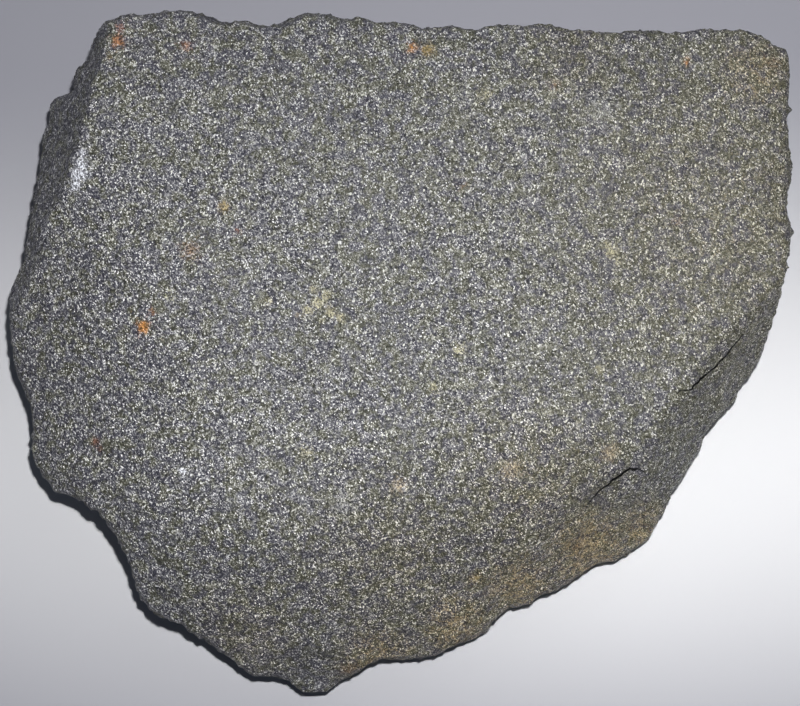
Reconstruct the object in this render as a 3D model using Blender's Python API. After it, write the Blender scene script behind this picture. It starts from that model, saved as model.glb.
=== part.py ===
# Andesite hand specimen: one loose block of rock, broken on every side.
#
# The stone lies on its small flat spot with its big fracture face up.
# +X is its right side and +Y its top edge, seen from above, and +Z is up.
# The origin is the centre of its box, at the height of the flat spot.

import math

import bmesh
import bpy
import numpy as np
from mathutils import Euler, Matrix, Vector, noise

MM = 0.001

NODE_NAME = "andesite_block"
STONE_COLOUR = (0.205, 0.202, 0.197, 1.0)
STONE_ROUGHNESS = 0.85

# The rim of the stone seen from above, clockwise from its top left corner, in millimetres.
TOP_EDGE = [
    (-42.0, 46.1), (-38.3, 47.7), (-35.4, 47.5), (-31.1, 48.1), (-28.3, 47.8), (-23.6, 46.3),
    (-22.9, 46.8), (-19.7, 46.1), (-17.5, 46.1), (-13.9, 47.7), (-11.4, 47.8), (-8.2, 46.8),
    (-6.4, 47.2), (-3.7, 46.4), (1.4, 46.3), (2.8, 45.7), (7.9, 46.0), (10.0, 45.3),
    (12.9, 46.1), (17.9, 45.9), (19.4, 46.3), (22.9, 45.6), (28.7, 45.1), (33.0, 45.3),
    (40.2, 45.0), (42.3, 45.6), (49.1, 45.3), (51.2, 44.9), (54.4, 43.6),
]
RIGHT_EDGE = [
    (55.5, 43.0), (55.8, 40.7), (54.9, 29.8), (55.2, 27.0), (55.1, 25.1), (54.8, 20.0),
    (55.6, 18.2), (55.8, 16.5), (55.2, 15.3), (55.0, 9.6), (54.3, 6.8), (53.2, 3.4), (52.0, 0.0),
]
LOWER_RIGHT_EDGE = [
    (51.5, -2.6), (49.9, -4.5), (48.7, -7.1), (44.6, -11.5), (43.9, -13.7), (41.3, -18.2),
    (38.9, -22.3), (36.8, -25.7), (36.6, -26.8), (32.0, -30.1), (29.4, -30.5), (24.5, -33.7),
    (22.0, -35.0), (20.3, -35.3), (19.0, -36.6), (15.6, -37.4), (12.5, -40.7), (7.1, -43.0),
    (5.5, -44.1), (2.2, -44.6),
]
BOTTOM_EDGE = [
    (-2.5, -44.8), (-4.4, -45.4), (-7.4, -47.6), (-9.2, -48.2), (-10.4, -50.9), (-12.7, -52.0),
    (-14.6, -51.2), (-17.1, -47.6), (-22.0, -47.2), (-23.0, -45.8), (-28.5, -41.7),
]
LOWER_LEFT_EDGE = [
    (-30.4, -40.8), (-31.4, -39.5), (-35.9, -37.8), (-37.3, -36.2), (-38.0, -34.1),
    (-38.9, -30.5), (-41.1, -26.2), (-43.6, -22.8), (-46.3, -21.0), (-49.2, -20.9),
    (-52.4, -17.2), (-53.4, -14.9), (-53.4, -10.9), (-53.9, -6.6), (-55.6, -2.1),
]
LEFT_EDGE = [
    (-55.9, 3.4), (-56.1, 6.7), (-55.7, 9.3), (-54.1, 12.9), (-53.4, 17.4), (-51.2, 29.4),
    (-51.2, 31.6), (-50.4, 32.7), (-49.9, 36.4), (-47.9, 36.6), (-46.5, 37.2), (-46.5, 39.8),
    (-44.3, 41.6), (-44.1, 43.6), (-43.0, 45.6),
]

# The big fracture face: a broad crown that leans to the lower right and rolls over
# towards its borders. A roll is (azimuth in degrees, start in mm, radius in mm).
CROWN_HEIGHT = 28.5
FACE_LEAN_AZIMUTH = -30
FACE_LEAN_SLOPE = 0.065
FACE_ROLLS = [
    (90, 24, 110),
    (180, 22, 190),
    (0, 18, 190),
    (-75, 9, 34.5),
    (-155, 24, 48),
]

# Steep broken faces on the upper side: (azimuth, crest distance, crest height, fall in degrees).
UPPER_FACETS = [
    (165, 52.4, 28.6, 63),
    (-37, 35.3, 24.6, 57),
    (-58, 31.5, 21.0, 52),
    (-22, 50.5, 22.5, 60),
]

# Broken faces of the underside: (azimuth, distance at floor level in mm, rise in degrees).
UNDER_FACETS = [
    (-75, 10, 4),
    (-38, 14, 7),
    (2, 16, 11),
    (48, 21, 15),
    (92, 20, 13),
    (138, 22, 18),
    (176, 20, 15),
    (-142, 17, 17),
    (-112, 15, 5),
    (92, 38, 63),
    (66, 51, 58),
    (2, 48, 66),
    (-40, 42, 62),
    (-60, 40, 55),
    (-88, 50.5, 46),
    (-132, 46, 62),
    (-152, 45, 62),
    (172, 47, 64),
    (135, 55, 62),
]

# Shallow shell-shaped flake scars: (centre in mm, ball radius in mm).
FLAKE_SCARS = [
    ((-20, 66, 14), 21.5),
    ((12, 63.5, 21), 19.5),
    ((38, 61, 10), 18.5),
    ((71, 30, 9), 18.0),
    ((70, 8, 16), 17.0),
    ((-67, -12, 8), 15.5),
    ((-56, -44, 4), 17.0),
    ((-68, 20, 3), 17.5),
    ((56, -16, -15), 26.0),
    ((-58, 8, -12), 23.5),
    ((-36, -54, -12), 26.0),
    ((8, 60, -14), 31.5),
    ((44, 52, -10), 26.0),
    ((-36, 58, -12), 31.5),
    ((16, -58, -22), 30.0),
]

# Stepped ledges left where slabs broke away: (centre in mm, size in mm, turn in degrees).
LEDGES = [
    ((-49.5, 45.5, 29), (14, 12, 12), (4, 10, -14)),
    ((-6, 50, 31), (34, 6, 9), (-6, 3, 2)),
    ((33, 50.5, 8), (30, 8, 9), (8, -4, -3)),
    ((57, 22, 26), (5, 17, 9), (3, 8, 4)),
    ((48, -9, 3), (8, 26, 7), (0, 12, -38)),
    ((-42, -30, 3), (10, 20, 9), (4, 6, 38)),
]

BLANK_HEIGHT = 45
COARSE_VOXEL = 0.9
FINE_VOXEL = 0.7
MAX_TRIANGLES = 9400

# The broken grain of the stone: swells, pits and sharp-edged scallops, in millimetres.
SWELL_SIZE = 17.0
SWELL_DEPTH = 0.7
SCALLOP_SIZE = 8.5
SCALLOP_DEPTH_FACE = 0.35
SCALLOP_DEPTH_WALL = 1.3
SCALLOP_LEVEL = 0.3
PIT_SIZE = 3.6
PIT_DEPTH_FACE = 0.25
PIT_DEPTH_WALL = 0.55
FACE_STEEPNESS = 0.80
WALL_STEEPNESS = 0.45
UNDER_SHARE = 0.55

# How much is worn off the lowest points to leave the flat spot, in millimetres.
FLAT_SPOT_CUT = 1.0
FLAT_TOLERANCE = 0.02


def direction(azimuth):
    angle = math.radians(azimuth)
    return Vector((math.cos(angle), math.sin(angle), 0.0))


def clear_scene():
    for old in list(bpy.data.objects):
        bpy.data.objects.remove(old, do_unlink=True)


def link_mesh(name, mesh):
    piece = bpy.data.objects.new(name, mesh)
    bpy.context.scene.collection.objects.link(piece)
    return piece


def make_blank():
    """Extrude the rim straight up from the floor into a closed block."""
    rim = TOP_EDGE + RIGHT_EDGE + LOWER_RIGHT_EDGE + BOTTOM_EDGE + LOWER_LEFT_EDGE + LEFT_EDGE
    block = bmesh.new()
    corners = [block.verts.new((x * MM, y * MM, 0.0)) for x, y in rim]
    floor_face = block.faces.new(corners)
    raised = bmesh.ops.extrude_face_region(block, geom=[floor_face])
    top_corners = [item for item in raised["geom"] if isinstance(item, bmesh.types.BMVert)]
    bmesh.ops.translate(block, vec=(0.0, 0.0, BLANK_HEIGHT * MM), verts=top_corners)
    bmesh.ops.recalc_face_normals(block, faces=block.faces)
    return block


def cut_plane(block, point, normal):
    """Break off all that lies in front of a plane, and close the break."""
    everything = list(block.verts) + list(block.edges) + list(block.faces)
    bmesh.ops.bisect_plane(
        block, geom=everything, plane_co=point, plane_no=normal, clear_outer=True
    )
    open_edges = [edge for edge in block.edges if edge.is_boundary]
    bmesh.ops.holes_fill(block, edges=open_edges)


def break_facets(block):
    for azimuth, distance, height, fall in UPPER_FACETS:
        outward = direction(azimuth)
        point = outward * distance * MM + Vector((0.0, 0.0, height * MM))
        slope = math.radians(fall)
        cut_plane(block, point, outward * math.sin(slope) + Vector((0.0, 0.0, math.cos(slope))))
    for azimuth, distance, rise in UNDER_FACETS:
        outward = direction(azimuth)
        slope = math.radians(rise)
        normal = outward * math.sin(slope) - Vector((0.0, 0.0, math.cos(slope)))
        cut_plane(block, outward * distance * MM, normal)


def make_cutter(name, block):
    mesh = bpy.data.meshes.new(name)
    bmesh.ops.recalc_face_normals(block, faces=block.faces)
    block.to_mesh(mesh)
    block.free()
    cutter = link_mesh(name, mesh)
    cutter.hide_render = True
    cutter.display_type = "WIRE"
    return cutter


def make_scar_cutter(index, centre, radius):
    ball = bmesh.new()
    place = Matrix.Translation(Vector(centre) * MM)
    bmesh.ops.create_icosphere(ball, subdivisions=4, radius=radius * MM, matrix=place)
    return make_cutter("scar_cutter_%d" % index, ball)


def make_ledge_cutter(index, centre, size, turn):
    slab = bmesh.new()
    turned = Euler([math.radians(angle) for angle in turn]).to_matrix().to_4x4()
    stretched = Matrix.Diagonal((size[0] * MM, size[1] * MM, size[2] * MM, 1.0))
    place = Matrix.Translation(Vector(centre) * MM) @ turned @ stretched
    bmesh.ops.create_cube(slab, size=1.0, matrix=place)
    return make_cutter("ledge_cutter_%d" % index, slab)


def apply_modifiers(stone):
    """Replace the object's mesh by its evaluated one, and drop its modifiers."""
    graph = bpy.context.evaluated_depsgraph_get()
    finished = bpy.data.meshes.new_from_object(stone.evaluated_get(graph))
    stone.modifiers.clear()
    stone.data = finished


def chip(stone):
    """Cut the flake scars and the ledges out of the blank."""
    cutters = [make_scar_cutter(i, *scar) for i, scar in enumerate(FLAKE_SCARS)]
    cutters += [make_ledge_cutter(i, *ledge) for i, ledge in enumerate(LEDGES)]
    for cutter in cutters:
        cut = stone.modifiers.new(cutter.name, "BOOLEAN")
        cut.operation = "DIFFERENCE"
        cut.solver = "EXACT"
        cut.object = cutter
    apply_modifiers(stone)
    for cutter in cutters:
        bpy.data.objects.remove(cutter, do_unlink=True)


def remesh(stone, voxel):
    """Rebuild the skin with even small faces."""
    grid = stone.modifiers.new("even_skin", "REMESH")
    grid.mode = "VOXEL"
    grid.voxel_size = voxel * MM
    apply_modifiers(stone)


def read_points(mesh):
    points = np.empty(len(mesh.vertices) * 3)
    mesh.vertices.foreach_get("co", points)
    return points.reshape(-1, 3)


def read_normals(mesh):
    normals = np.empty(len(mesh.vertices) * 3)
    mesh.vertices.foreach_get("normal", normals)
    return normals.reshape(-1, 3)


def write_points(mesh, points):
    mesh.vertices.foreach_set("co", points.ravel())
    mesh.update()


def face_height(x, y):
    """Height of the big fracture face above the floor, all in millimetres."""
    lean = direction(FACE_LEAN_AZIMUTH)
    height = CROWN_HEIGHT - FACE_LEAN_SLOPE * (x * lean.x + y * lean.y)
    for azimuth, start, radius in FACE_ROLLS:
        outward = direction(azimuth)
        past = np.maximum(x * outward.x + y * outward.y - start, 0.0)
        height = height - past ** 2 / (2.0 * radius)
    return height


def split_top(stone):
    """Press all that stands above the fracture face down to it."""
    points = read_points(stone.data) / MM
    points[:, 2] = np.minimum(points[:, 2], face_height(points[:, 0], points[:, 1]))
    write_points(stone.data, points * MM)


def blend(value, low, high):
    share = np.clip((value - low) / (high - low), 0.0, 1.0)
    return share * share * (3.0 - 2.0 * share)


def roughen(stone):
    """Push the skin in and out along its normals: swells, scallops and pits."""
    points = read_points(stone.data) / MM
    normals = read_normals(stone.data)
    wall = 1.0 - blend(normals[:, 2], WALL_STEEPNESS, FACE_STEEPNESS)
    wall = wall * (1.0 - (1.0 - UNDER_SHARE) * blend(-normals[:, 2], WALL_STEEPNESS, FACE_STEEPNESS))
    scallop_depth = SCALLOP_DEPTH_FACE + (SCALLOP_DEPTH_WALL - SCALLOP_DEPTH_FACE) * wall
    pit_depth = PIT_DEPTH_FACE + (PIT_DEPTH_WALL - PIT_DEPTH_FACE) * wall
    push = np.empty(len(points))
    for i, point in enumerate(points):
        place = Vector(point)
        swell = noise.noise(place / SWELL_SIZE)
        pit = noise.noise(place / PIT_SIZE)
        near = noise.voronoi(place / SCALLOP_SIZE)[0][0]
        push[i] = SWELL_DEPTH * swell + pit_depth[i] * pit + scallop_depth[i] * (near ** 2 - SCALLOP_LEVEL)
    write_points(stone.data, (points + normals * push[:, None]) * MM)


def simplify(stone):
    """Thin the skin to the few faces that carry the stone's form."""
    triangles = sum(len(face.vertices) - 2 for face in stone.data.polygons)
    thin = stone.modifiers.new("thin", "DECIMATE")
    thin.decimate_type = "COLLAPSE"
    thin.ratio = MAX_TRIANGLES / triangles
    thin.use_collapse_triangulate = True
    apply_modifiers(stone)


def press_flat(stone, level):
    """Flatten all that reaches below a level, in millimetres, to that level."""
    points = read_points(stone.data)
    low = points[:, 2] < (level + FLAT_TOLERANCE) * MM
    points[low, 2] = level * MM
    write_points(stone.data, points)


def set_down(stone):
    """Move the stone so that its box is centred on the origin and its flat spot is at zero."""
    points = read_points(stone.data)
    low = points.min(axis=0)
    high = points.max(axis=0)
    middle = (low + high) / 2.0
    middle[2] = low[2]
    write_points(stone.data, points - middle)


def drop_crumbs(stone):
    """Keep the stone itself and delete any loose crumb that thinning left beside it."""
    block = bmesh.new()
    block.from_mesh(stone.data)
    waiting = set(block.verts)
    pieces = []
    while waiting:
        piece = [waiting.pop()]
        for corner in piece:
            for edge in corner.link_edges:
                other = edge.other_vert(corner)
                if other in waiting:
                    waiting.remove(other)
                    piece.append(other)
        pieces.append(piece)
    pieces.sort(key=len)
    crumbs = [corner for piece in pieces[:-1] for corner in piece]
    bmesh.ops.delete(block, geom=crumbs, context="VERTS")
    block.to_mesh(stone.data)
    block.free()


def stone_material():
    material = bpy.data.materials.new("andesite")
    material.use_nodes = True
    shader = material.node_tree.nodes["Principled BSDF"]
    shader.inputs["Base Color"].default_value = STONE_COLOUR
    shader.inputs["Roughness"].default_value = STONE_ROUGHNESS
    shader.inputs["Metallic"].default_value = 0.0
    return material


def make_stone():
    block = make_blank()
    break_facets(block)
    mesh = bpy.data.meshes.new(NODE_NAME)
    block.to_mesh(mesh)
    block.free()
    stone = link_mesh(NODE_NAME, mesh)
    chip(stone)
    remesh(stone, COARSE_VOXEL)
    split_top(stone)
    remesh(stone, FINE_VOXEL)
    roughen(stone)
    remesh(stone, FINE_VOXEL)
    flat_level = read_points(stone.data)[:, 2].min() / MM + FLAT_SPOT_CUT
    press_flat(stone, flat_level)
    simplify(stone)
    press_flat(stone, flat_level)
    drop_crumbs(stone)
    set_down(stone)
    stone.data.materials.clear()
    stone.data.materials.append(stone_material())
    return stone


clear_scene()
make_stone()
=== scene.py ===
# A loose block of andesite on a pale sheet, seen from straight above.
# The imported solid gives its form. Here it gets a fine broken skin, three cracks,
# the speckle of its minerals, its stains, and a small lamp near the lens.

import math
import random
import time

import bmesh
import bpy
import numpy as np
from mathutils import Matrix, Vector
from mathutils.bvhtree import BVHTree


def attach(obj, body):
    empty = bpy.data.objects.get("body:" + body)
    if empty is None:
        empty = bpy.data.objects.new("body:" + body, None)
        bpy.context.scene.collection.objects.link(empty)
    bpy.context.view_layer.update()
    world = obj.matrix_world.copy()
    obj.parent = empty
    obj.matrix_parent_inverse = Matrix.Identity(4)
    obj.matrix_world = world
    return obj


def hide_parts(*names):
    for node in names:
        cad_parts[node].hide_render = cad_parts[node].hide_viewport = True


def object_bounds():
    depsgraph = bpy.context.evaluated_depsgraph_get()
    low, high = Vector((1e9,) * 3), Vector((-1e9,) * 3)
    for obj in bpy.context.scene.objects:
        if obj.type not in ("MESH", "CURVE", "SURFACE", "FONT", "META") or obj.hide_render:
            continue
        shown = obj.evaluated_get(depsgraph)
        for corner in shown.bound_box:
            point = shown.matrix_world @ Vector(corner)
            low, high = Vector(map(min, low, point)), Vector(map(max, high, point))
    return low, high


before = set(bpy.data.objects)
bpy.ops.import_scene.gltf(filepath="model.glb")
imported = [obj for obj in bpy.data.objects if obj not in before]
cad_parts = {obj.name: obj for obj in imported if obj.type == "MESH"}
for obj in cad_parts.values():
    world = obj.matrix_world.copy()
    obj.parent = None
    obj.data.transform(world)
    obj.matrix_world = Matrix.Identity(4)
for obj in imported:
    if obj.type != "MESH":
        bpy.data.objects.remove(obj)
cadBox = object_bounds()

mm = 0.001
started = time.time()


def report(words):
    print(f"{time.time() - started:5.1f} s  {words}")


# Small helpers for meshes

def readAll(things, name, width):
    values = np.empty(len(things) * width)
    things.foreach_get(name, values)
    return values.reshape(-1, width)


def moveCorners(mesh, places):
    mesh.vertices.foreach_set("co", places.ravel())
    mesh.update()


def addAttribute(mesh, name, kind, domain, field, values):
    mesh.attributes.new(name, kind, domain).data.foreach_set(field, values.ravel())


def countTriangles(mesh):
    return sum(len(face.vertices) - 2 for face in mesh.polygons)


# Small helpers for node trees

def plug(tree, value, socket):
    if isinstance(value, bpy.types.NodeSocket):
        tree.links.new(value, socket)
    else:
        socket.default_value = value


def addNode(tree, kind, sockets=None, **settings):
    made = tree.nodes.new(kind)
    for name, value in settings.items():
        setattr(made, name, value)
    for socket, value in (sockets or {}).items():
        plug(tree, value, made.inputs[socket])
    return made


def maths(tree, operation, *values):
    return addNode(tree, "ShaderNodeMath", dict(enumerate(values)), operation=operation).outputs[0]


def vectorMaths(tree, operation, *values):
    return addNode(tree, "ShaderNodeVectorMath", dict(enumerate(values)), operation=operation).outputs[0]


def lengthOf(tree, vector):
    return addNode(tree, "ShaderNodeVectorMath", {0: vector}, operation="LENGTH").outputs["Value"]


def scaled(tree, vector, factor):
    return addNode(tree, "ShaderNodeVectorMath", {0: vector, "Scale": factor}, operation="SCALE").outputs[0]


def remap(tree, value, fromLow, fromHigh, toLow=0.0, toHigh=1.0):
    sockets = {"Value": value, "From Min": fromLow, "From Max": fromHigh, "To Min": toLow, "To Max": toHigh}
    return addNode(tree, "ShaderNodeMapRange", sockets, interpolation_type="SMOOTHSTEP").outputs[0]


def mixColour(tree, share, under, over, blend="MIX"):
    sockets = {0: share, 6: under, 7: over}
    return addNode(tree, "ShaderNodeMix", sockets, data_type="RGBA", blend_type=blend).outputs[2]


def noiseAt(tree, place, size, detail=2.0, roughness=0.5, seed=0.0):
    seeds = seed if isinstance(seed, bpy.types.NodeSocket) else (seed, seed, seed)
    shifted = vectorMaths(tree, "MULTIPLY_ADD", (7.3, -4.1, 2.7), seeds, place)
    scale = maths(tree, "DIVIDE", 1.0, size)
    sockets = {"Vector": shifted, "Scale": scale, "Detail": detail, "Roughness": roughness}
    return addNode(tree, "ShaderNodeTexNoise", sockets)


def shade(red, green, blue):
    return (red, green, blue, 1.0)


# Skin: the solid's surface rebuilt finely, with the relief of broken lava rock

skin = {
    "voxel": 0.40,            # mm
    "smoothRounds": 4,        # wears the solid's flat facets away
    "smoothShare": 0.5,
    "Swell size": 5.5,        # mm, broad low rolling of the broken face
    "Swell depth": 0.16,
    "Scallop size": 3.0,      # mm, shell-shaped chips on the steep sides
    "Scallop depth": 0.30,
    "Chip size": 1.15,        # mm, the small ones, which make the outline jagged
    "Chip depth": 0.60,
    "Ledge spacing": 2.6,     # mm, steps where thin slabs broke off
    "Ledge height": 0.30,
    "Hackle size": 1.3,       # mm, fine ridges that run down the sides
    "Hackle depth": 0.30,
    "Grain size": 0.95,       # mm, the coarsest of the grain
    "Grain depth": 0.12,
    "Slope share": 0.42,      # how much of the sides' relief the sloping breaks have
    "Face share": 0.16,       # and the big face
    "Outward shift": 0.10,    # mm, makes up for what the smoothing took off
    "Seed": 4.0,
    "sideFade": (0.1, 0.5),   # upward share of a normal, from a side to a sloping break
    "faceFade": (0.6, 0.9),   # and from there to the big face
    "footFade": (0.15, 1.4),  # mm above the flat spot, which stays flat
    "bendSize": 2.4,          # mm, waves that bend the borders of scallops and chips
    "bend": 1.6,              # mm
    "hollowRim": -0.3,        # how far their borders stand out
    "waveSize": 9.0,          # mm, the slow waves that the ledges are cut from
    "riserFrom": 0.78,        # the share of a ledge that is its flat tread
    "hackleStretch": 0.3,     # hackles are drawn out downwards
    "hackleMiddle": 0.25,
}

facets = {
    # the steep breaks beside the big face: (azimuth, crest distance, crest height in mm, fall)
    "planes": [(165, 52.4, 28.6, 63), (-37, 35.3, 24.6, 57), (-58, 31.5, 21.0, 52), (-22, 50.5, 22.5, 60)],
    "inset": 0.35,            # mm behind the solid's own facets, for a crisp crest
}


def copyOfSolid():
    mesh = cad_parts["andesite_block"].data.copy()
    mesh.name = "andesiteSkin"
    merged = bmesh.new()
    merged.from_mesh(mesh)
    bmesh.ops.remove_doubles(merged, verts=merged.verts, dist=0.001 * mm)
    bmesh.ops.recalc_face_normals(merged, faces=merged.faces)
    merged.to_mesh(mesh)
    merged.free()
    mesh.materials.clear()
    stone = bpy.data.objects.new("andesiteStone", mesh)
    bpy.context.scene.collection.objects.link(stone)
    return stone


def bake(stone):
    graph = bpy.context.evaluated_depsgraph_get()
    mesh = bpy.data.meshes.new_from_object(stone.evaluated_get(graph))
    stone.modifiers.clear()
    stone.data = mesh


def rebuildSkin(stone):
    grid = stone.modifiers.new("evenSkin", "REMESH")
    grid.mode = "VOXEL"
    grid.voxel_size = skin["voxel"] * mm
    wear = stone.modifiers.new("wornFacets", "SMOOTH")
    wear.factor = skin["smoothShare"]
    wear.iterations = skin["smoothRounds"]
    bake(stone)


def trueFacets(stone):
    points = readAll(stone.data.vertices, "co", 3)
    for azimuth, distance, height, fall in facets["planes"]:
        turn, slope = math.radians(azimuth), math.radians(fall)
        outward = np.array([math.cos(turn), math.sin(turn), 0.0])
        normal = outward * math.sin(slope) + np.array([0.0, 0.0, math.cos(slope)])
        spot = (outward * distance + np.array([0.0, 0.0, height])) * mm - normal * facets["inset"] * mm
        proud = np.maximum((points - spot) @ normal, 0.0)
        points -= proud[:, None] * normal
    moveCorners(stone.data, points)


rim = {
    # the stone's outline, traced: (right, down) in pixels of the photograph
    "outline": [
        (101, 25), (110, 20), (127.5, 14), (148, 15), (163, 11.5), (178.6, 10.7), (199, 12.8), (212, 19),
        (224.5, 21.7), (232, 24), (237, 20), (247, 22), (260, 25.5), (275.5, 25), (288, 19), (301, 14),
        (319, 13), (336.7, 16.6), (342, 20), (354.6, 17), (367, 19), (373.7, 23), (388, 21.7), (400, 22.4),
        (410, 24), (420, 28), (438, 27.5), (456, 26), (471.4, 30.6), (481.6, 29), (492, 25), (512, 25),
        (527.5, 26.8), (537.8, 23.5), (553, 25), (563, 29), (583.7, 30.6), (604, 32.6), (624.5, 32.6),
        (634.7, 30.6), (655, 31), (670.4, 33), (685.7, 33), (701, 28.6), (716, 30), (731.6, 31),
        (749.5, 30.6), (762, 37), (770, 43), (782.6, 48.5), (786.5, 51), (789, 66), (789, 94), (788, 122),
        (788, 143), (791.6, 163), (792, 176), (788, 189), (786.5, 212), (791.6, 224.5), (793, 237),
        (789, 245), (788, 265), (782.6, 286), (777.5, 306), (770, 329), (762, 353), (753, 371),
        (742, 383.6), (734, 401.5), (719, 417), (706, 432), (701, 447), (696, 456), (689.5, 465),
        (683, 478), (673, 491), (666.6, 506), (660, 519), (652.5, 529), (651, 536.7), (637, 547),
        (619, 559.6), (601.5, 562), (591, 567), (578.6, 576), (568, 584), (550.5, 593), (539, 595),
        (530, 604), (507, 609), (494, 621), (485.5, 632), (471, 640), (448.5, 647.6), (438, 655),
        (415, 659), (400, 660), (382.6, 659), (370, 663), (359.7, 670.6), (349.5, 678), (337, 682),
        (329, 690), (314, 695), (301, 692), (296, 686), (283, 678), (268, 676.5), (250, 675), (242, 668),
        (229.6, 658), (217, 650), (204, 640), (191, 633.6), (183.7, 624.7), (163, 618), (153, 613),
        (143, 602), (136.5, 590), (134, 577.5), (130, 565), (122.4, 549), (115, 535), (104.6, 521),
        (97, 511), (86.7, 506), (76.5, 498), (67.6, 493), (58.7, 494.6), (48.5, 483), (38, 469), (32, 455),
        (33, 442), (32, 429.5), (33, 414), (28, 399), (21.7, 383.6), (15, 368), (13, 353), (10, 329),
        (9, 306), (11.5, 288), (23, 263), (28, 232), (33, 201), (39, 173), (43, 148), (43, 133),
        (48.5, 125), (51, 107), (52, 99), (64, 96), (73.5, 92), (74, 74), (78, 67), (89, 61), (90.5, 47),
        (98, 33),
    ],
    "sectors": 720,           # around the stone, about half a millimetre each
    "evened": 3.0,            # sectors, so that smaller chips in the rim stay
    "evenedWithin": 8,        # sectors to either side
    "farthest": 1.3,          # mm that the rim may shift
    "depth": 4.0,             # mm behind the rim, where the shift dies away
    "rounds": 3,
    "legSteps": 60,           # points along each leg of the outline
}


def reachAround(seen):
    # how far points reach in each sector around the middle of the picture, in mm
    turn = np.arctan2(seen[:, 1], seen[:, 0]) % (2 * math.pi)
    away = np.hypot(seen[:, 0], seen[:, 1])
    sector = (turn / (2 * math.pi) * rim["sectors"]).astype(int) % rim["sectors"]
    reach = np.zeros(rim["sectors"])
    np.maximum.at(reach, sector, away)
    return turn, away, reach


def tracedReach():
    corners = (np.array(rim["outline"]) - view["middlePixel"]) * (1.0, -1.0)
    corners *= view["frameWidth"] / view["pixels"]
    legs = np.roll(corners, -1, axis=0) - corners
    shares = np.linspace(0.0, 1.0, rim["legSteps"])
    return reachAround(np.concatenate([corners + legs * share for share in shares]))[2]


def holdRim(stone):
    # the chips have moved the rim, so it goes back to the traced outline, as the lens sees it
    wanted = tracedReach()
    middles = (np.arange(rim["sectors"]) + 0.5) / rim["sectors"] * 2 * math.pi
    near = np.arange(-rim["evenedWithin"], rim["evenedWithin"] + 1)
    weights = np.exp(-(near / rim["evened"]) ** 2)
    points = readAll(stone.data.vertices, "co", 3) / mm
    for again in range(rim["rounds"]):
        depth = view["distance"] + view["faceHeight"] - points[:, 2]
        seen = (points[:, :2] - view["centre"]) * (view["distance"] / depth)[:, None]
        turn, away, reach = reachAround(seen)
        gap = np.clip(wanted - reach, -rim["farthest"], rim["farthest"])
        shift = sum(np.roll(gap, step) * weight for step, weight in zip(near, weights)) / weights.sum()
        behind = np.interp(turn, middles, reach, period=2 * math.pi) - away
        push = np.interp(turn, middles, shift, period=2 * math.pi)
        push *= np.exp(-(behind / rim["depth"]) ** 2)
        points[:, 0] += np.cos(turn) * push
        points[:, 1] += np.sin(turn) * push
    moveCorners(stone.data, points * mm)


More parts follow.
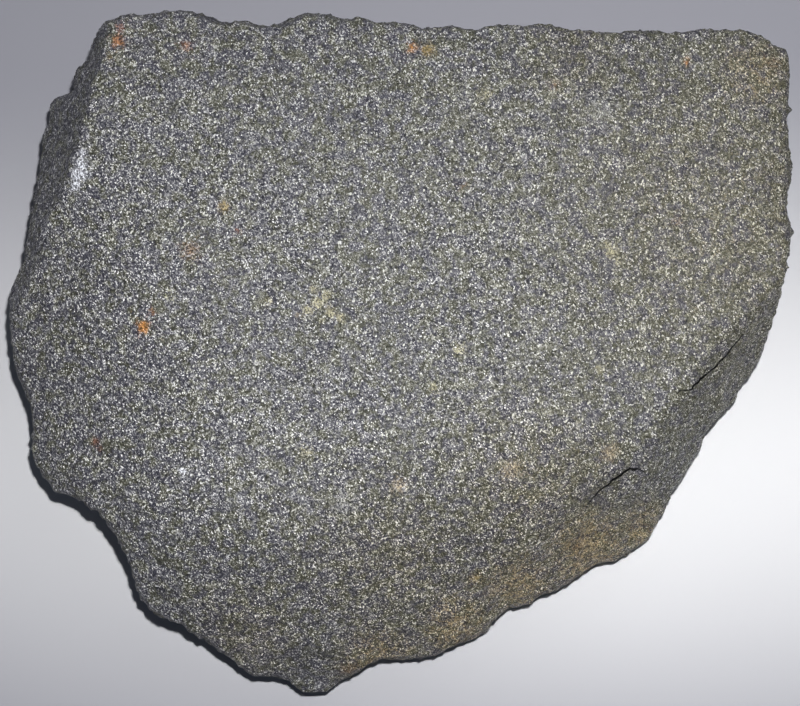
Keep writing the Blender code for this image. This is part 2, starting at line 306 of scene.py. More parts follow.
def makeReliefTree():
    tree = bpy.data.node_groups.new("brokenRelief", "GeometryNodeTree")
    sockets = tree.interface
    sockets.new_socket("Geometry", in_out="INPUT", socket_type="NodeSocketGeometry")
    for name, value in skin.items():
        if name[0].isupper():
            sockets.new_socket(name, in_out="INPUT", socket_type="NodeSocketFloat").default_value = value
    sockets.new_socket("Finish", in_out="INPUT", socket_type="NodeSocketMaterial")
    sockets.new_socket("Geometry", in_out="OUTPUT", socket_type="NodeSocketGeometry")
    given = addNode(tree, "NodeGroupInput").outputs
    done = addNode(tree, "NodeGroupOutput")

    place = scaled(tree, addNode(tree, "GeometryNodeInputPosition").outputs[0], 1.0 / mm)
    normal = addNode(tree, "GeometryNodeInputNormal").outputs[0]
    normalZ = addNode(tree, "ShaderNodeSeparateXYZ", {0: normal}).outputs[2]
    height = addNode(tree, "ShaderNodeSeparateXYZ", {0: place}).outputs[2]

    def noise(where, size, detail, roughness=0.5):
        made = noiseAt(tree, where, size, detail, roughness, seed=given["Seed"])
        return maths(tree, "MULTIPLY_ADD", made.outputs[0], 2.0, -1.0)

    # one on the upright sides and the underside, less on the sloping breaks, least on the big face
    side = maths(tree, "MAXIMUM", remap(tree, normalZ, *skin["sideFade"], 1.0, given["Slope share"]),
                 given["Slope share"])
    side = maths(tree, "MINIMUM", side, remap(tree, normalZ, *skin["faceFade"], 1.0, given["Face share"]))

    swell = maths(tree, "MULTIPLY", noise(place, given["Swell size"], detail=1.0), given["Swell depth"])
    grain = noise(place, given["Grain size"], detail=2.0, roughness=0.65)
    grain = maths(tree, "MULTIPLY", grain, given["Grain depth"])

    # scallops and chips: hollow in the middle of each cell, sharp along its borders
    bend = scaled(tree, noiseAt(tree, place, skin["bendSize"]).outputs[1], skin["bend"])
    bent = vectorMaths(tree, "ADD", place, bend)

    def hollows(name):
        cells = addNode(tree, "ShaderNodeTexVoronoi", {"Vector": bent})
        plug(tree, maths(tree, "DIVIDE", 1.0, given[name + " size"]), cells.inputs["Scale"])
        away = cells.outputs["Distance"]
        depth = maths(tree, "MULTIPLY_ADD", away, away, skin["hollowRim"])
        return maths(tree, "MULTIPLY", depth, given[name + " depth"])

    scallop = maths(tree, "ADD", hollows("Scallop"), hollows("Chip"))

    # ledges: a slow noise cut into flat treads and short risers
    slow = maths(tree, "MULTIPLY", noise(place, skin["waveSize"], detail=2.0), skin["waveSize"])
    slow = maths(tree, "DIVIDE", slow, given["Ledge spacing"])
    tread = maths(tree, "ADD", maths(tree, "FLOOR", slow),
                  remap(tree, maths(tree, "FRACT", slow), skin["riserFrom"], 1.0))
    ledge = maths(tree, "MULTIPLY", maths(tree, "SUBTRACT", tread, slow), given["Ledge height"])

    # hackles: ridges drawn out from the top of the side to its foot
    drawn = vectorMaths(tree, "MULTIPLY", place, (1.0, 1.0, skin["hackleStretch"]))
    ridge = maths(tree, "ABSOLUTE", noise(drawn, given["Hackle size"], detail=2.0))
    hackle = maths(tree, "SUBTRACT", skin["hackleMiddle"], ridge)
    hackle = maths(tree, "MULTIPLY", hackle, given["Hackle depth"])

    rough = maths(tree, "ADD", maths(tree, "ADD", scallop, ledge), hackle)
    push = maths(tree, "ADD", maths(tree, "ADD", swell, grain), maths(tree, "MULTIPLY", rough, side))
    push = maths(tree, "ADD", push, given["Outward shift"])
    push = maths(tree, "MULTIPLY", push, remap(tree, height, *skin["footFade"]))
    moved = addNode(tree, "GeometryNodeSetPosition", {
        "Geometry": given["Geometry"],
        "Offset": scaled(tree, normal, maths(tree, "MULTIPLY", push, mm)),
    })
    whole = addNode(tree, "GeometryNodeRealizeInstances", {0: moved.outputs[0]})
    finished = addNode(tree, "GeometryNodeSetMaterial", {
        "Geometry": whole.outputs[0], "Material": given["Finish"]})
    plug(tree, finished.outputs[0], done.inputs[0])
    return tree


def breakSkin(stone, finish):
    tree = makeReliefTree()
    relief = stone.modifiers.new("brokenRelief", "NODES")
    relief.node_group = tree
    for item in tree.interface.items_tree:
        if item.in_out == "INPUT" and item.name in skin:
            relief[item.identifier] = skin[item.name]
        elif item.in_out == "INPUT" and item.name == "Finish":
            relief[item.identifier] = finish
    bake(stone)


# Cracks: thin wedge-shaped blades that follow a crack's path over the stone

cracks = {
    "reach": 0.9,             # mm that a blade stands proud of the surface
    "widened": 1.15,          # the blades' width to that of the crack as it shows
    "jag": 0.10,              # mm it wanders to the sides between its points
    "bends": 3,               # of them between two points
    "widthRange": (0.7, 1.2),
    "seed": 5,
    "onWall": 0.012,          # mm, how near a corner of the skin is to a blade when it lies on it
    "paths": {
        # (x, y, width) in mm along the surface, and the depth
        "nearBottom": (1.7, [
            (25.66, -20.96, 0.08), (26.28, -21.36, 0.14), (26.78, -20.78, 0.14), (27.19, -19.93, 0.16),
            (28.50, -18.77, 0.22), (29.62, -17.80, 0.25), (30.74, -16.96, 0.27), (31.85, -16.18, 0.30),
            (32.39, -15.62, 0.36), (32.72, -16.00, 0.48), (33.55, -15.88, 0.26), (34.75, -16.37, 0.10),
        ]),
        "underCrest": (1.3, [
            (38.71, -5.20, 0.09), (39.42, -4.65, 0.14), (40.45, -4.67, 0.19), (40.94, -4.45, 0.28),
            (41.38, -3.95, 0.35), (42.04, -3.32, 0.32), (42.80, -2.64, 0.25), (43.30, -2.25, 0.22),
            (43.90, -1.70, 0.20), (44.69, -1.34, 0.26), (45.13, -0.70, 0.25), (45.75, 0.02, 0.20),
            (46.55, 0.93, 0.17), (47.44, 2.10, 0.17), (48.48, 3.38, 0.10),
        ]),
        "crestTwig": (0.8, [(42.77, -2.24, 0.06), (43.23, -1.56, 0.13), (43.64, -1.34, 0.06)]),
    },
}


dropHeight = 100.0            # mm, well above the stone
restHeight = 20.0             # mm, where a point that misses it looks for the nearest spot


def surfaceTree(thing):
    points = [corner.co.copy() for corner in thing.data.vertices]
    return BVHTree.FromPolygons(points, [face.vertices[:] for face in thing.data.polygons])


def dropOn(surface, x, y):
    found = surface.ray_cast(Vector((x * mm, y * mm, dropHeight * mm)), Vector((0.0, 0.0, -1.0)))[0]
    return found or surface.find_nearest(Vector((x * mm, y * mm, restHeight * mm)))[0]


def jagged(path, across):
    chance = random.Random(cracks["seed"])
    bent = [path[0]]
    for before, after in zip(path, path[1:]):
        for step in range(1, cracks["bends"] + 1):
            share = step / cracks["bends"]
            x, y, width = (a + (b - a) * share for a, b in zip(before, after))
            stray = chance.uniform(-cracks["jag"], cracks["jag"])
            width *= chance.uniform(*cracks["widthRange"])
            bent.append((x + across.x * stray, y + across.y * stray, width))
    return bent


def makeBlade(name, surface, depth, path):
    # it strays to the sides of one straight line alone, so that it never crosses itself
    blade = bmesh.new()
    rows = []
    along = Vector((path[-1][0] - path[0][0], path[-1][1] - path[0][1], 0.0)).normalized()
    across = Vector((-along.y, along.x, 0.0))
    up = Vector((0.0, 0.0, cracks["reach"]))
    for x, y, width in jagged(path, across):
        foot = dropOn(surface, x, y)
        widened = width * cracks["widened"] / 2 * (1 + cracks["reach"] / depth)
        rows.append([
            blade.verts.new(foot + (up - across * widened) * mm),
            blade.verts.new(foot + (up + across * widened) * mm),
            blade.verts.new(foot - Vector((0.0, 0.0, depth)) * mm),
        ])
    for here, there in zip(rows, rows[1:]):
        for k in range(3):
            blade.faces.new((here[k], here[(k + 1) % 3], there[(k + 1) % 3], there[k]))
    blade.faces.new(rows[0])
    blade.faces.new(list(reversed(rows[-1])))
    bmesh.ops.triangulate(blade, faces=blade.faces)
    bmesh.ops.recalc_face_normals(blade, faces=blade.faces)
    mesh = bpy.data.meshes.new(name)
    blade.to_mesh(mesh)
    blade.free()
    cutter = bpy.data.objects.new(name, mesh)
    bpy.context.scene.collection.objects.link(cutter)
    return cutter


thinning = {
    "triangles": 190000,      # what it leaves
    # (lowest and highest upward share of a normal, how freely such a place is thinned)
    "bands": [(0.75, 2.0, 1.0), (-2.0, -0.6, 1.0), (0.55, 0.75, 0.4), (-0.6, -0.4, 0.4)],
    "keptAround": 1.6,        # of a stain's radius, where the skin stays fine for it
    "evened": 0.5,
}


def thinFlats(stone):
    mesh = stone.data
    up = readAll(mesh.vertices, "normal", 3)[:, 2]
    places = readAll(mesh.vertices, "co", 3)[:, :2] / mm
    flat = stone.vertex_groups.new(name="flat")

    def weigh(chosen, weight):
        flat.add([int(corner) for corner in np.nonzero(chosen)[0]], weight, "REPLACE")

    for low, high, weight in thinning["bands"]:
        weigh((up >= low) & (up < high), weight)
    for x, y, radius, strength, colour in stains["marks"]:
        near = np.linalg.norm(places - (x, y), axis=1) < thinning["keptAround"] * radius
        weigh(near & (up > 0.0), 0.0)
    thin = stone.modifiers.new("thinFlats", "DECIMATE")
    thin.ratio = thinning["triangles"] / countTriangles(mesh)
    thin.vertex_group = flat.name
    even = stone.modifiers.new("evenFlats", "SMOOTH")
    even.factor = thinning["evened"]
    even.iterations = 1
    even.vertex_group = flat.name
    bake(stone)
    stone.vertex_groups.clear()


def markCracks(stone, walls):
    mesh = stone.data
    onWall = [False] * len(mesh.vertices)
    for wall, low, high in walls:
        for corner in mesh.vertices:
            if all(low[k] <= corner.co[k] <= high[k] for k in range(3)):
                if wall.find_nearest(corner.co, cracks["onWall"] * mm)[0] is not None:
                    onWall[corner.index] = True
    # the crack walls, which get painted shade, with some dirt, in the finish
    inCrack = np.zeros(len(mesh.loops))
    for face in mesh.polygons:
        if all(onWall[corner] for corner in face.vertices):
            for loop in face.loop_indices:
                inCrack[loop] = 1.0
                mesh.edges[mesh.loops[loop].edge_index].use_edge_sharp = True
    addAttribute(mesh, "inCrack", "FLOAT", "CORNER", "value", inCrack)


def crackSkin(stone):
    surface = surfaceTree(stone)
    blades = [makeBlade(name, surface, *facts) for name, facts in cracks["paths"].items()]
    for blade in blades:
        cut = stone.modifiers.new(blade.name, "BOOLEAN")
        cut.operation = "DIFFERENCE"
        cut.solver = "EXACT"
        cut.object = blade
    bake(stone)
    walls = []
    for blade in blades:
        corners = readAll(blade.data.vertices, "co", 3)
        walls.append((surfaceTree(blade), corners.min(axis=0), corners.max(axis=0)))
    markCracks(stone, walls)
    for blade in blades:
        bpy.data.objects.remove(blade, do_unlink=True)


def keepInBox(stone):
    points = readAll(stone.data.vertices, "co", 3)
    moveCorners(stone.data, np.clip(points, np.array(cadBox[0]), np.array(cadBox[1])))


# Stains: rust, cream bloom, a bruise and dark patches, each where the stone has it

rust, redRust, brown = (0.31, 0.135, 0.050), (0.22, 0.080, 0.040), (0.19, 0.120, 0.065)
orange, umber = (0.42, 0.175, 0.035), (0.11, 0.045, 0.025)
ochre, tan = (0.25, 0.185, 0.070), (0.32, 0.26, 0.17)
cream, olive, pale = (0.36, 0.335, 0.215), (0.26, 0.255, 0.135), (0.36, 0.36, 0.35)
white, darkPatch = (0.60, 0.61, 0.66), (0.055, 0.055, 0.065)

weathering = {
    # (x, y, radius in mm, strength) of the brown film, mostly along the lower right rim
    "marks": [
        (27.0, -28.0, 7.0, 0.95), (17.0, -33.0, 6.0, 0.85), (8.0, -39.0, 6.0, 0.8), (-3.0, -44.0, 6.0, 0.8),
        (35.0, -25.0, 5.0, 0.7), (20.0, -20.0, 16.0, 0.34), (0.0, -30.0, 14.0, 0.30),
        (48.0, 20.0, 30.0, 0.34), (50.0, 40.0, 7.0, 0.55), (25.0, 42.0, 9.0, 0.30), (-22.0, -40.0, 8.0, 0.3),
    ],
    "underside": 0.5,
    "undersideTop": 9.0,                      # mm, where the film of the underside ends
    "film": shade(1.16, 1.02, 0.74),          # what it does to the colour under it
    "crust": shade(0.34, 0.260, 0.145),       # where it has grown thick
    "crustFade": (1.0, 1.75, 0.0, 0.7),       # from which strength to which, from bare to covered
    "threadSize": 1.8,                        # mm, the net of tan threads in it
    "threadWidth": 0.07,
    "threadStrength": 0.6,
    "raggedness": 0.6,
}

leftBreakPaintedShade = {
    # painted shade: the steep breaks on the left are coloured darker, as they face away from the lamps
    "upward": 0.82,           # share of a normal where such a break begins
    "fade": 0.2,
    "across": 25.0,           # mm left of the middle, where the painted shade is at its full strength
    "shade": shade(0.80, 0.80, 0.83),
}

stains = {
    # (x, y, radius in mm, strength, colour)
    "marks": [
        (-39.7, 44.2, 1.1, 0.75, rust), (-39.3, 46.1, 0.9, 0.5, redRust), (-40.9, 41.9, 0.8, 0.45, ochre),
        (-30.2, 43.5, 1.0, 0.55, rust), (-36.1, 4.3, 0.95, 0.95, orange), (-34.9, 6.4, 0.6, 0.5, rust),
        (-24.7, 21.1, 0.95, 0.8, ochre), (-29.5, 14.9, 1.7, 0.6, brown), (1.5, 43.4, 1.0, 0.55, orange),
        (3.6, 43.1, 1.1, 0.75, ochre), (40.1, 41.7, 0.7, 0.5, orange), (52.5, 41.9, 1.6, 0.5, brown),
        (-43.3, -11.9, 0.7, 0.9, umber), (-42.6, -12.9, 0.6, 0.7, umber), (-0.6, -17.9, 1.4, 0.6, tan),
        (21.3, 38.3, 1.0, 0.5, brown), (8.4, 24.0, 1.0, 0.4, brown), (38.6, 19.1, 1.0, 0.4, brown),
        (10.6, -31.6, 1.3, 0.6, ochre), (13.4, -33.5, 1.5, 0.5, tan), (25.3, -27.2, 1.6, 0.5, brown),
        (-7.6, -45.4, 1.9, 0.6, brown),
        (-23.0, 17.8, 0.6, 0.5, redRust), (-11.8, 7.6, 0.9, 0.9, cream), (-10.6, 8.6, 0.8, 0.8, cream),
        (-12.4, 9.5, 0.7, 0.7, cream), (-13.2, 6.6, 0.8, 0.8, cream), (-10.0, 6.4, 0.9, 0.85, cream),
        (-8.7, 5.6, 0.8, 0.7, cream), (-11.3, 5.2, 0.6, 0.5, cream), (-14.4, 5.9, 0.6, 0.5, tan),
        (29.5, 14.8, 1.0, 0.8, cream), (30.3, 13.6, 0.8, 0.6, cream), (28.8, 15.9, 0.7, 0.6, cream),
        (-18.7, 7.8, 0.8, 0.6, cream),
        (8.1, 1.2, 1.1, 0.65, cream), (4.5, -4.2, 1.0, 0.5, cream), (27.7, -1.7, 0.9, 0.5, cream),
        (29.4, -13.5, 1.7, 0.6, tan), (15.5, -15.8, 1.9, 0.55, tan), (-13.5, -13.2, 1.3, 0.5, cream),
        (28.0, 35.0, 2.4, 0.45, pale), (11.6, 36.9, 1.4, 0.45, cream), (-32.6, 8.6, 1.2, 0.45, olive),
        (-8.4, -20.4, 2.6, 0.4, pale), (16.9, 28.4, 0.45, 0.9, pale), (-30.7, -15.9, 0.5, 1.0, white),
        (-44.5, 28.6, 0.8, 0.55, white), (-44.7, 27.0, 0.9, 0.8, white), (-45.1, 25.4, 1.1, 0.9, white),
        (-45.5, 23.9, 0.9, 0.7, white), (-43.9, 26.2, 1.0, 0.45, white),
        # dark patches along the top rim, at the lower tip and on the face
        (-13.5, -43.0, 5.5, 0.35, darkPatch), (15.1, 42.9, 2.6, 0.35, darkPatch), (22.2, 42.0, 3.0, 0.35, darkPatch),
        (29.2, 41.6, 3.0, 0.35, darkPatch),
        (36.8, 42.5, 2.6, 0.35, darkPatch), (-22.7, -12.1, 1.8, 0.35, darkPatch), (53.7, 42.3, 2.0, 0.3, darkPatch),
    ],
    "grain": 0.55,                            # mm, what breaks up their borders
    "raggedness": 1.5,
    "fade": (0.85, 1.55, 0.0, 0.85),          # from which strength to which, from bare to covered
    "brightness": (2.5, -0.25, 0.12),         # slope, offset and least of the mosaic's tone in them
}


def stainSkin(stone):
    mesh = stone.data
    surface = surfaceTree(stone)
    points = readAll(mesh.vertices, "co", 3) / mm
    weight = np.full(len(points), 1e-6)       # so that nothing is divided by zero
    tint = np.zeros((len(points), 3))
    cover = np.zeros(len(points))
    for x, y, radius, strength, colour in stains["marks"]:
        centre = np.array(dropOn(surface, x, y)) / mm
        away = np.linalg.norm(points - centre, axis=1) / radius
        share = strength * np.exp(-away ** 2)
        tint += share[:, None] * np.array(colour)
        weight += share
        cover = np.maximum(cover, share)
    height, top = points[:, 2], weathering["undersideTop"]
    film = np.where(height < top, weathering["underside"] * (1.0 - height / top), 0.0)
    for x, y, radius, strength in weathering["marks"]:
        away = np.linalg.norm(points[:, :2] - (x, y), axis=1) / radius
        film = np.maximum(film, strength * np.exp(-away ** 2))
    # painted shade on the steep breaks on the left
    upward = np.abs(readAll(mesh.vertices, "normal", 3)[:, 2])
    steepPaintedShade = np.clip((leftBreakPaintedShade["upward"] - upward) / leftBreakPaintedShade["fade"], 0.0, 1.0)
    steepPaintedShade *= np.clip(-points[:, 0] / leftBreakPaintedShade["across"], 0.0, 1.0)
    addAttribute(mesh, "weathering", "FLOAT", "POINT", "value", film)
    addAttribute(mesh, "steepPaintedShade", "FLOAT", "POINT", "value", steepPaintedShade)
    marked = np.column_stack([tint / weight[:, None], cover])
    addAttribute(mesh, "stain", "FLOAT_COLOR", "POINT", "color", marked)


# Flat map for baked colours: the big face from above, the underside, and the sides unrolled

bakeMap = {
    "pixels": 1024,
    "facePixel": 0.15,        # mm of the big face to a pixel
    "underPixel": 0.27,       # and of the underside
    "underStart": 660,        # pixels above the lower edge
    "sideStart": 762,         # pixels from the left edge
    "sideWidth": 128,         # pixels, of each of the two strips of the sides
    "sideLength": 1000,
    "margin": 3,
    "upright": 0.35,          # the upward share of a normal where the sides begin
}


def layBakeMap(stone):
    mesh = stone.data
    sizes = readAll(mesh.polygons, "loop_total", 1).astype(int)[:, 0]
    owner = np.repeat(np.arange(len(mesh.polygons)), sizes)
    corner = readAll(mesh.loops, "vertex_index", 1).astype(int)[:, 0]
    place = readAll(mesh.vertices, "co", 3)[corner] / mm
    up = readAll(mesh.polygons, "normal", 3)[owner, 2]
    middle = readAll(mesh.polygons, "center", 3)[owner] / mm
    low, high = np.array(cadBox[0]) / mm, np.array(cadBox[1]) / mm
    margin = bakeMap["margin"]
    spot = (place - low)[:, :2] / bakeMap["facePixel"] + margin
    under = up < -bakeMap["upright"]
    mirrored = np.column_stack([high[0] - place[:, 0], place[:, 1] - low[1]]) / bakeMap["underPixel"]
    spot[under] = mirrored[under] + (margin, bakeMap["underStart"])
    side = np.abs(up) <= bakeMap["upright"]
    turn = np.arctan2(middle[:, 1], middle[:, 0])
    bend = np.arctan2(place[:, 1], place[:, 0]) - turn
    bend = (bend + math.pi) % (2 * math.pi) - math.pi
    strip = (turn > 0).astype(int)
    along = (turn + bend + math.pi) / math.pi - strip
    rise = place[:, 2] / high[2]
    width, length = bakeMap["sideWidth"], bakeMap["sideLength"]
    rolled = np.column_stack([
        bakeMap["sideStart"] + strip * (width + margin) + rise * (width - margin),
        (bakeMap["pixels"] - length) / 2 + along * length,
    ])
    spot[side] = rolled[side]
    mesh.uv_layers.new(name="OFBake").data.foreach_set("uv", (spot / bakeMap["pixels"]).ravel())
    report(f"flat map laid, from {spot.min():.0f} to {spot.max():.0f} pixels")


# The finish: a mosaic of tiny crystals, dark to pale, with a few larger grains

andesite = {
    # tone of the crystals, from the darkest to the palest: (place on the scale, colour)
    "crystalTones": [
        (0.08, shade(0.019, 0.019, 0.022)), (0.32, shade(0.047, 0.046, 0.051)),
        (0.52, shade(0.082, 0.081, 0.085)), (0.66, shade(0.145, 0.144, 0.141)),
        (0.80, shade(0.280, 0.278, 0.268)), (0.96, shade(0.700, 0.697, 0.680)),
    ],
    # the three mosaics: (size in mm, turn, stretch, raggedness)
    "coarse": (0.25, (0.3, 0.2, 0.5), (1.4, 0.8, 0.9), 0.14),
    "fine": (0.15, (0.2, -0.4, 2.0), (1.25, 0.9, 0.9), 0.08),
    "laths": (0.62, (0.5, 0.3, 1.2), (1.5, 0.75, 0.8), 0.2),
    "ruffle": 3.6,            # waves of their borders to a mm
    "coarseShare": 0.26,
    "crowdSize": 1.1,         # mm, patches where pale crystals are crowded
    "crowdShare": 0.33,
    # painted glints: near-white points in the colour, for clean crystal faces that catch the lamp
    "paintedGlint": shade(0.82, 0.82, 0.81),
    "paintedGlintShare": 0.066,
    "paintedGlintTones": (0.25, 0.6),
    # the few large grains: colour, and where it fades towards a cell's border
    "feldspar": (shade(0.72, 0.72, 0.66), (0.32, 0.20)),
    "pyroxene": (shade(0.016, 0.016, 0.020), (0.30, 0.20)),
    "lathShare": 0.07,        # of each
    "olive": shade(1.130, 1.170, 0.700),
    "violet": shade(0.910, 0.900, 1.165),
    "castSize": 1.7,          # mm, patches of these two
    "castFade": (0.38, 0.62),
    "castLean": 0.0007,       # more violet to the left, more olive to the right, per mm
    "castSpread": 0.12,       # how far single colours stray from those two
    "castTones": (0.3, 0.85, 1.0, 0.2),       # the cast is weaker on pale crystals
    # painted shade, with some dirt, on the walls of the cracks
    "crackPaintedShade": shade(0.004, 0.004, 0.005),
    "roughness": 0.82,
    "grainRoughness": 0.34,
    "glossyFrom": 0.6,        # the chance above which a small crystal is glossy
    "sparkle": 0.45,          # how far the crystals' own faces are tilted
    "bumpSize": 0.35,         # mm
    "bumpDepth": 0.05,        # mm
}


def makeMosaicGroup():
    tree = bpy.data.node_groups.new("crystalMosaic", "ShaderNodeTree")
    sockets = tree.interface
    for name, kind, value in (
        ("Place", "Vector", (0.0, 0.0, 0.0)), ("Turn", "Vector", (0.0, 0.0, 0.0)),
        ("Stretch", "Vector", (1.0, 1.0, 1.0)), ("Size", "Float", 0.4), ("Ragged", "Float", 0.2),
    ):
        sockets.new_socket(name, in_out="INPUT", socket_type="NodeSocket" + kind).default_value = value
    for name, kind in (("Tone", "Float"), ("Chance", "Float"), ("Distance", "Float"), ("Tilt", "Vector")):
        sockets.new_socket(name, in_out="OUTPUT", socket_type="NodeSocket" + kind)
    given = addNode(tree, "NodeGroupInput").outputs
    done = addNode(tree, "NodeGroupOutput")
    ruffle = addNode(tree, "ShaderNodeTexNoise", {
        "Vector": given["Place"], "Scale": andesite["ruffle"], "Detail": 1.0})
    offset = vectorMaths(tree, "SUBTRACT", ruffle.outputs[1], (0.5, 0.5, 0.5))
    place = vectorMaths(tree, "ADD", given["Place"], scaled(tree, offset, given["Ragged"]))
    turned = addNode(tree, "ShaderNodeMapping", {
        "Vector": place, "Rotation": given["Turn"], "Scale": given["Stretch"]}, vector_type="TEXTURE")
    cells = addNode(tree, "ShaderNodeTexVoronoi", {"Vector": turned.outputs[0]})
    plug(tree, maths(tree, "DIVIDE", 1.0, given["Size"]), cells.inputs["Scale"])
    drawn = addNode(tree, "ShaderNodeSeparateColor", {0: cells.outputs["Color"]}).outputs
    plug(tree, drawn[0], done.inputs["Tone"])
    plug(tree, drawn[1], done.inputs["Chance"])
    plug(tree, cells.outputs["Distance"], done.inputs["Distance"])
    tilt = vectorMaths(tree, "SUBTRACT", cells.outputs["Color"], (0.5, 0.5, 0.5))
    plug(tree, tilt, done.inputs["Tilt"])
    return tree


def attribute(tree, name):
    return addNode(tree, "ShaderNodeAttribute", attribute_name=name).outputs


def addCrystals(tree, place, coarse, fine):
    # coarse and fine crystals mixed, the pale ones crowded here and sparse there
    share = andesite["coarseShare"]
    tone = maths(tree, "ADD", maths(tree, "MULTIPLY", coarse["Tone"], share),
                 maths(tree, "MULTIPLY", fine["Tone"], 1.0 - share))
    crowd = noiseAt(tree, place, andesite["crowdSize"], detail=3.0, roughness=0.6, seed=3.0).outputs[0]
    crowded = maths(tree, "SUBTRACT", crowd, 0.5)
    tone = maths(tree, "MULTIPLY_ADD", crowded, andesite["crowdShare"], tone)
    ramp = addNode(tree, "ShaderNodeValToRGB", {0: tone})
    steps = andesite["crystalTones"]
    while len(ramp.color_ramp.elements) < len(steps):
        ramp.color_ramp.elements.new(0.5)
    for element, (position, colour) in zip(ramp.color_ramp.elements, steps):
        element.position = position
        element.color = colour
    return tone, ramp.outputs[0]


def addCast(tree, place, tone, colour):
    # a faint cast, olive here and violet there
    cast = noiseAt(tree, place, andesite["castSize"], detail=2.0, roughness=0.7, seed=8.0).outputs
    across = addNode(tree, "ShaderNodeSeparateXYZ", {0: place}).outputs[0]
    leaning = maths(tree, "MULTIPLY_ADD", across, andesite["castLean"], cast[0])
    share = remap(tree, leaning, *andesite["castFade"])
    tint = mixColour(tree, share, andesite["violet"], andesite["olive"])
    stray = vectorMaths(tree, "SUBTRACT", cast[1], (0.5, 0.5, 0.5))
    tint = vectorMaths(tree, "ADD", tint, scaled(tree, stray, andesite["castSpread"]))
    return mixColour(tree, remap(tree, tone, *andesite["castTones"]), colour, tint, blend="MULTIPLY")


def addPaintedGlints(tree, fine, tone, colour):
    # painted glints: bright points, where a tiny crystal shows a clean face to the lamp
    paintedGlint = maths(tree, "GREATER_THAN", fine["Chance"], 1.0 - andesite["paintedGlintShare"])
    paintedGlint = maths(tree, "MULTIPLY", paintedGlint, remap(tree, tone, *andesite["paintedGlintTones"]))
    return mixColour(tree, paintedGlint, colour, andesite["paintedGlint"])


def addLaths(tree, laths, colour):
    # a few larger grains: pale feldspar and black pyroxene
    share = andesite["lathShare"]
    for kind, compare, limit in (("feldspar", "GREATER_THAN", 1.0 - share), ("pyroxene", "LESS_THAN", share)):
        grainColour, fade = andesite[kind]
        chosen = maths(tree, compare, laths["Chance"], limit)
        grain = maths(tree, "MULTIPLY", chosen, remap(tree, laths["Distance"], *fade))
        colour = mixColour(tree, grain, colour, grainColour)
    return colour


def addStains(tree, place, tone, colour):
    # the brown film with its threads and crust, then the single stains, broken up by the grain
    slope, offset, least = stains["brightness"]
    brightness = maths(tree, "MAXIMUM", maths(tree, "MULTIPLY_ADD", tone, slope, offset), least)
    ragged = noiseAt(tree, place, stains["grain"], detail=3.0, roughness=0.75, seed=5.0).outputs[0]
    film = attribute(tree, "weathering")["Fac"]
    filmed = mixColour(tree, film, colour, weathering["film"], blend="MULTIPLY")
    threads = noiseAt(tree, place, weathering["threadSize"], detail=3.0, roughness=0.6, seed=11.0).outputs[0]
    threads = maths(tree, "ABSOLUTE", maths(tree, "SUBTRACT", threads, 0.5))
    threads = remap(tree, threads, weathering["threadWidth"], 0.0, 0.0, weathering["threadStrength"])
    threads = maths(tree, "MULTIPLY_ADD", ragged, weathering["raggedness"], threads)
    thick = remap(tree, maths(tree, "ADD", threads, film), *weathering["crustFade"])
    crust = mixColour(tree, 1.0, weathering["crust"], brightness, blend="MULTIPLY")
    filmed = mixColour(tree, thick, filmed, crust)
    mark = attribute(tree, "stain")
    reach = maths(tree, "MULTIPLY_ADD", ragged, stains["raggedness"], mark["Alpha"])
    stainColour = mixColour(tree, 1.0, mark["Color"], brightness, blend="MULTIPLY")
    return mixColour(tree, remap(tree, reach, *stains["fade"]), filmed, stainColour)


def sparklingNormal(tree, place, coarse, fine):
    # relief of the grain, and each crystal's own broken face
    facing = addNode(tree, "ShaderNodeNewGeometry").outputs["Normal"]
    tilt = scaled(tree, vectorMaths(tree, "ADD", coarse["Tilt"], fine["Tilt"]), andesite["sparkle"])
    leaned = vectorMaths(tree, "NORMALIZE", vectorMaths(tree, "ADD", facing, tilt))
    rough = noiseAt(tree, place, andesite["bumpSize"], detail=2.0, roughness=0.6, seed=1.0).outputs[0]
    bump = addNode(tree, "ShaderNodeBump", {
        "Strength": 1.0, "Distance": andesite["bumpDepth"] * mm, "Height": rough, "Normal": leaned})
    return bump.outputs[0]


def makeAndesite():
    material = bpy.data.materials.new("andesiteFinish")
    material.use_nodes = True
    tree = material.node_tree
    shader = tree.nodes["Principled BSDF"]
    place = scaled(tree, addNode(tree, "ShaderNodeTexCoord").outputs["Object"], 1.0 / mm)
    mosaicGroup = makeMosaicGroup()

    def mosaic(size, turn, stretch, ragged):
        sockets = {"Place": place, "Size": size, "Turn": turn, "Stretch": stretch, "Ragged": ragged}
        return addNode(tree, "ShaderNodeGroup", sockets, node_tree=mosaicGroup).outputs

    coarse, fine, laths = (mosaic(*andesite[kind]) for kind in ("coarse", "fine", "laths"))
    tone, colour = addCrystals(tree, place, coarse, fine)
    colour = addCast(tree, place, tone, colour)
    colour = addPaintedGlints(tree, fine, tone, colour)
    colour = addLaths(tree, laths, colour)
    colour = addStains(tree, place, tone, colour)
    # painted shade: the steep breaks on the left are darkened
    colour = mixColour(tree, attribute(tree, "steepPaintedShade")["Fac"], colour, leftBreakPaintedShade["shade"], blend="MULTIPLY")
    # painted shade, with some dirt: the crack walls are coloured nearly black
    colour = mixColour(tree, attribute(tree, "inCrack")["Fac"], colour, andesite["crackPaintedShade"])
    plug(tree, colour, shader.inputs["Base Color"])
    glossy = maths(tree, "GREATER_THAN", fine["Chance"], andesite["glossyFrom"])
    roughness = remap(tree, glossy, 0.0, 1.0, andesite["roughness"], andesite["grainRoughness"])
    plug(tree, roughness, shader.inputs["Roughness"])
    plug(tree, sparklingNormal(tree, place, coarse, fine), shader.inputs["Normal"])
    return material


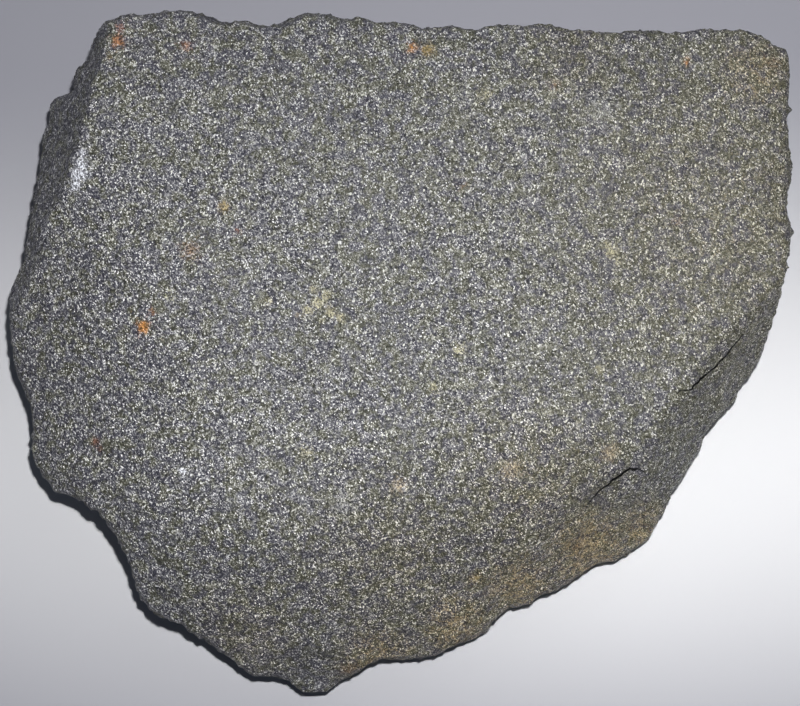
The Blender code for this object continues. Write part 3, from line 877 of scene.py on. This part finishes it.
def makeStone():
    finish = makeAndesite()
    stone = copyOfSolid()
    rebuildSkin(stone)
    trueFacets(stone)
    report(f"skin rebuilt, {len(stone.data.polygons)} faces")
    breakSkin(stone, finish)
    holdRim(stone)
    report(f"relief pressed in, {len(stone.data.polygons)} faces")
    thinFlats(stone)
    report(f"flat faces thinned, {len(stone.data.polygons)} faces")
    crackSkin(stone)
    keepInBox(stone)
    report(f"cracks cut, {countTriangles(stone.data)} triangles")
    stainSkin(stone)
    layBakeMap(stone)
    stone.data.materials.clear()
    stone.data.materials.append(finish)
    stone.data.shade_smooth()
    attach(stone, "root")
    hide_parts("andesite_block")
    report("stone finished")


# Stage: a pale sheet with a painted pool of light and painted shade, the lights and the camera

stage = {
    # sizes and places in m and powers in W, where nothing else is said
    "sheetSize": 4.0,
    "sheetPaintedShade": shade(0.31, 0.31, 0.35),     # painted shade, away from the painted bright band
    "sheetPale": shade(0.79, 0.79, 0.805),    # the painted pool of light in the bright band, and the sheet's own colour far away
    "sheetRoughness": 0.7,
    "sheetShine": 0.25,
    "paintedLightSpot": (60.0, -14.0, 0.0),         # mm, middle of the painted pool of light
    "paintedLightReach": (330.0, 62.0),             # mm along and across the painted bright band
    "paleFrom": (85.0, 200.0),                # mm from the stone, where the painted shade ends and the sheet is pale again
    "aim": (0.0, 0.0, 0.02),
    "keyOffset": (0.014, 0.037, 0.478),
    "keySize": 0.010,
    "keyPower": 1.20,
    "beamPower": 0.086,
    "beamAim": (0.034, -0.034, 0.02),
    "beamSpread": 48.0,                       # degrees
    "softPlace": (0.25, 0.42, 0.75),
    "softSize": 0.5,
    "softPower": 0.7,
    "skyPower": 0.06,
    "sky": shade(0.68, 0.79, 1.0),
}

view = {
    "centre": (-0.3, 0.65),    # mm, the point of the stone under the lens
    "faceHeight": 28.0,        # mm above the sheet, where the frame width is measured
    "distance": 450.0,         # mm from there to the lens
    "frameWidth": 112.0,       # mm across the picture
    "sensor": 36.0,            # mm
    "nearest": 0.01,           # m
    "pixels": 800,             # across the photograph
    "middlePixel": (400, 353),
}


def makeSheet():
    half = stage["sheetSize"] / 2
    mesh = bpy.data.meshes.new("paleSheet")
    corners = [(-half, -half, 0.0), (half, -half, 0.0), (half, half, 0.0), (-half, half, 0.0)]
    mesh.from_pydata(corners, [], [(0, 1, 2, 3)])
    sheet = bpy.data.objects.new("paleSheet", mesh)
    bpy.context.scene.collection.objects.link(sheet)
    material = bpy.data.materials.new("paleSheetPaintedLight")
    material.use_nodes = True
    tree = material.node_tree
    place = scaled(tree, addNode(tree, "ShaderNodeTexCoord").outputs["Object"], 1.0 / mm)
    # a painted pool of light in a band, painted shade around the stone, pale far away
    along, across = stage["paintedLightReach"]
    offset = vectorMaths(tree, "SUBTRACT", place, stage["paintedLightSpot"])
    offset = vectorMaths(tree, "DIVIDE", offset, (along, across, 1.0))
    paintedLightBand = remap(tree, lengthOf(tree, offset), 1.0, 0.0)
    far = remap(tree, lengthOf(tree, place), *stage["paleFrom"])
    share = maths(tree, "MAXIMUM", paintedLightBand, far)
    colour = mixColour(tree, share, stage["sheetPaintedShade"], stage["sheetPale"])
    shader = tree.nodes["Principled BSDF"]
    plug(tree, colour, shader.inputs["Base Color"])
    shader.inputs["Roughness"].default_value = stage["sheetRoughness"]
    shader.inputs["Specular IOR Level"].default_value = stage["sheetShine"]
    sheet.data.materials.append(material)


def makeLight(name, place, size, power, shape, aim=stage["aim"], spread=180.0):
    light = bpy.data.lights.new(name, "AREA")
    light.shape = shape
    light.size = size
    light.energy = power
    light.spread = math.radians(spread)
    lamp = bpy.data.objects.new(name, light)
    lamp.location = place
    lamp.rotation_euler = (Vector(aim) - Vector(place)).to_track_quat("-Z", "Y").to_euler()
    lamp.visible_camera = False
    bpy.context.scene.collection.objects.link(lamp)


def makeStage():
    makeSheet()
    makeLight("keyByLens", stage["keyOffset"], stage["keySize"], stage["keyPower"], "DISK")
    makeLight("beamByLens", stage["keyOffset"], stage["keySize"], stage["beamPower"], "DISK",
              stage["beamAim"], stage["beamSpread"])
    makeLight("softAbove", stage["softPlace"], stage["softSize"], stage["softPower"], "SQUARE")
    world = bpy.data.worlds.new("softRoom")
    world.use_nodes = True
    background = world.node_tree.nodes["Background"]
    background.inputs["Color"].default_value = stage["sky"]
    background.inputs["Strength"].default_value = stage["skyPower"]
    bpy.context.scene.world = world
    bpy.context.scene.view_settings.view_transform = "Standard"


def makeCamera():
    lens = bpy.data.cameras.new("fromAbove")
    lens.sensor_width = view["sensor"]
    lens.lens = view["sensor"] * view["distance"] / view["frameWidth"]
    lens.clip_start = view["nearest"]
    camera = bpy.data.objects.new("fromAbove", lens)
    x, y = view["centre"]
    camera.location = (x * mm, y * mm, (view["faceHeight"] + view["distance"]) * mm)
    bpy.context.scene.collection.objects.link(camera)
    bpy.context.scene.camera = camera


makeCamera()
makeStone()
makeStage()
report("stage set")
